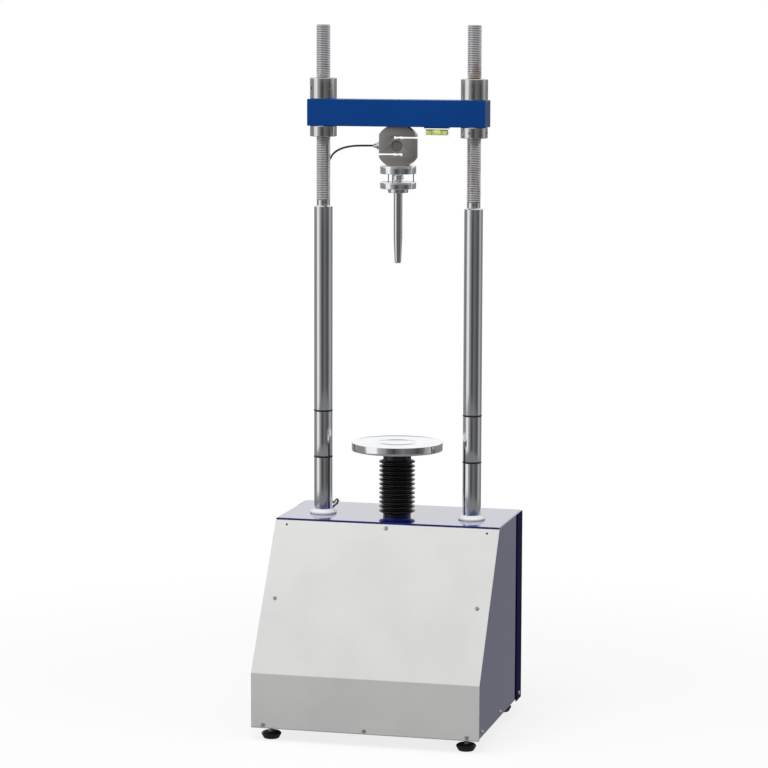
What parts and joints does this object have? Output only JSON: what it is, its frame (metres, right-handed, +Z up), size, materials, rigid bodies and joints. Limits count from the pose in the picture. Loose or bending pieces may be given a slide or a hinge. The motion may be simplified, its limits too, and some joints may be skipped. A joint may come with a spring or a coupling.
{
  "type": "triaxial load frame",
  "caption": "Bench load frame: sloping cabinet with screw jack and platen in bellows, threaded columns, crosshead clamped by round nuts, S-type load cell, ball seat and ram.",
  "frame": {"origin": "on the floor, under the middle of the frame's overall footprint without the load cell's cable and plug", "axes": "+Z up along the columns and the lead screw, +X to the right seen from the front, front faces -Y"},
  "size_m": [0.4034, 0.3797, 1.207],
  "materials": {
    "pale_grey_paint": "semi-gloss pale grey paint",
    "navy_gloss_paint": "glossy navy paint",
    "blue_paint": "satin blue paint",
    "grey_primer": "matt grey paint",
    "chrome": "hard chrome, polished",
    "steel": "turned steel",
    "cell_steel": "bead-blasted alloy steel",
    "zinc": "zinc plated steel",
    "bronze": "bearing bronze",
    "aluminium": "bare aluminium",
    "cast_iron": "painted casting",
    "rubber": "black rubber",
    "cable_black": "black cable jacket",
    "nylon": "white nylon",
    "black_plastic": "black moulded plastic",
    "clear_block": "clear acrylic",
    "vial_liquid": "yellow-green vial",
    "potting": "grey sealing compound",
    "board_green": "circuit board",
    "motor_black": "black motor paint"
  },
  "bodies": {
    "root": {"base_frame": "grey_primer", "top_plate": "steel", "wrap_cover": "navy_gloss_paint", "front_cover": "pale_grey_paint", "rear_cover": "navy_gloss_paint", "cover_screws": "zinc", "foot_lock_nuts": "zinc", "column_left": "chrome", "column_right": "chrome", "column_rings": "rubber", "column_collars": "nylon", "column_base_nuts": "zinc", "load_cell_cable": "cable_black", "cell_plug": "black_plastic", "bellows": "rubber", "screw_bush": "bronze", "jack_housing": "cast_iron", "jack_screws": "zinc", "bearing_outer": "steel", "drive_belt": "rubber", "motor_bracket": "grey_primer", "gearbox": "aluminium", "stepper_motor": "motor_black", "guide_rod": "chrome", "limit_switches": "black_plastic", "power_inlet": "black_plastic", "cell_socket": "steel", "data_socket": "steel", "control_board": "board_green", "power_supply": "aluminium"},
    "crosshead": {"crosshead": "blue_paint", "load_cell": "cell_steel", "cell_potting": "potting", "cell_bolt": "steel", "cable_gland": "steel", "upper_seat_disc": "chrome", "seat_screws": "steel", "level_plate": "blue_paint", "level_block": "clear_block", "level_vial": "vial_liquid"},
    "upper_nut_left": {"upper_nut_left": "chrome"},
    "upper_nut_right": {"upper_nut_right": "chrome"},
    "lower_nut_left": {"lower_nut_left": "chrome"},
    "lower_nut_right": {"lower_nut_right": "chrome"},
    "seat_ball": {"seat_ball": "steel"},
    "ram": {"lower_seat_disc": "chrome", "loading_ram": "chrome"},
    "platen": {"platen": "chrome", "lead_screw": "steel", "guide_arm": "steel"},
    "drive_nut": {"drive_nut": "bronze", "nut_pulley": "aluminium", "bearing_inner": "steel"},
    "motor_drive": {"motor_pulley": "steel"},
    "foot_front_left": {"foot_front_left": "rubber"},
    "foot_front_right": {"foot_front_right": "rubber"},
    "foot_rear_left": {"foot_rear_left": "rubber"},
    "foot_rear_right": {"foot_rear_right": "rubber"},
    "power_switch": {"power_switch": "black_plastic"}
  },
  "joints": [
    {"name": "crosshead_slide", "type": "slide", "parent": "root", "child": "crosshead", "axis": [0, 0, 1], "range_m": [-0.105, 0.084], "deforming": ["load_cell_cable"]},
    {"name": "lower_nut_left_turn", "type": "hinge", "parent": "crosshead", "child": "lower_nut_left", "pos_m": [-0.133, 0.0531, 1.025], "axis": [0, 0, 1], "range_deg": [-12610, 10090]},
    {"name": "upper_nut_left_turn", "type": "hinge", "parent": "crosshead", "child": "upper_nut_left", "pos_m": [-0.133, 0.0531, 1.098], "axis": [0, 0, 1], "range_deg": [-12610, 10090]},
    {"name": "upper_nut_right_turn", "type": "hinge", "parent": "crosshead", "child": "upper_nut_right", "pos_m": [0.133, 0.0531, 1.098], "axis": [0, 0, 1], "range_deg": [-12610, 10090]},
    {"name": "lower_nut_right_turn", "type": "hinge", "parent": "crosshead", "child": "lower_nut_right", "pos_m": [0.133, 0.0531, 1.025], "axis": [0, 0, 1], "range_deg": [-12610, 10090]},
    {"name": "seat_tilt_side", "type": "hinge", "parent": "crosshead", "child": "seat_ball", "pos_m": [0, 0.0531, 0.946], "axis": [0, 1, 0], "range_deg": [-2, 2]},
    {"name": "seat_tilt_fore", "type": "hinge", "parent": "seat_ball", "child": "ram", "pos_m": [0, 0.0531, 0.946], "axis": [1, 0, 0], "range_deg": [-2, 2]},
    {"name": "drive_nut_turn", "type": "hinge", "parent": "root", "child": "drive_nut", "pos_m": [0, 0.0531, 0.28], "axis": [0, 0, 1], "range_deg": [-2890, 4330]},
    {"name": "platen_lift", "type": "slide", "parent": "root", "child": "platen", "axis": [0, 0, 1], "range_m": [-0.06, 0.04], "deforming": ["bellows"]},
    {"name": "motor_pulley_turn", "type": "hinge", "parent": "root", "child": "motor_drive", "pos_m": [0.118, 0.0531, 0.24], "axis": [0, 0, 1], "range_deg": [-8650, 12970]},
    {"name": "foot_front_left_height", "type": "slide", "parent": "root", "child": "foot_front_left", "axis": [0, 0, 1], "range_m": [-0.008, 0]},
    {"name": "foot_front_right_height", "type": "slide", "parent": "root", "child": "foot_front_right", "axis": [0, 0, 1], "range_m": [-0.008, 0]},
    {"name": "foot_rear_left_height", "type": "slide", "parent": "root", "child": "foot_rear_left", "axis": [0, 0, 1], "range_m": [-0.008, 0]},
    {"name": "foot_rear_right_height", "type": "slide", "parent": "root", "child": "foot_rear_right", "axis": [0, 0, 1], "range_m": [-0.008, 0]},
    {"name": "power_switch_rock", "type": "hinge", "parent": "root", "child": "power_switch", "pos_m": [0.096, 0.1701, 0.1065], "axis": [1, 0, 0], "range_deg": [0, 20]}
  ],
  "couplings": [
    {"joint": "lower_nut_left_turn", "follows": "crosshead_slide", "rad_per_m": 2094.4},
    {"joint": "upper_nut_left_turn", "follows": "crosshead_slide", "rad_per_m": 2094.4},
    {"joint": "upper_nut_right_turn", "follows": "crosshead_slide", "rad_per_m": 2094.4},
    {"joint": "lower_nut_right_turn", "follows": "crosshead_slide", "rad_per_m": 2094.4},
    {"joint": "drive_nut_turn", "follows": "platen_lift", "rad_per_m": -1256.6},
    {"joint": "motor_pulley_turn", "follows": "platen_lift", "rad_per_m": -3769.9}
  ]
}
